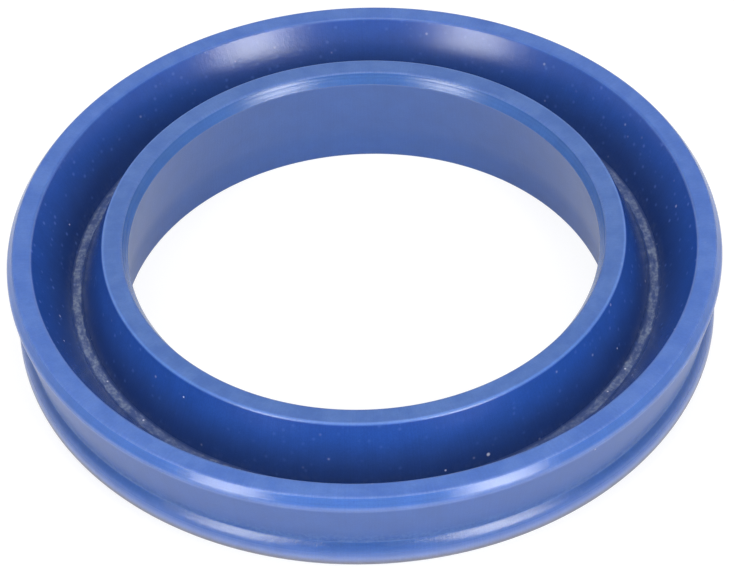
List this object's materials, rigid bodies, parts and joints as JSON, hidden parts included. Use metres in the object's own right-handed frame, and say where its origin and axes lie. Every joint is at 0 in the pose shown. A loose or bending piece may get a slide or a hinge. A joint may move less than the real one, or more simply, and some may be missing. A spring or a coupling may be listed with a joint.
{
  "type": "u cup seal",
  "caption": "Moulded U-cup seal ring with two flared sealing lips round an open groove, a stepped heel and a tapered bore.",
  "frame": {"origin": "centre of the flat heel face, on the ring's axis", "axes": "+Z along the ring's axis, from the heel face towards the lips and the open groove"},
  "size_m": [0.0712, 0.0712, 0.0123],
  "materials": {
    "seal_ring": "satin blue polyurethane, glossier on the trimmed sealing edges"
  },
  "bodies": {
    "root": {"seal_ring": "seal_ring"}
  },
  "joints": []
}
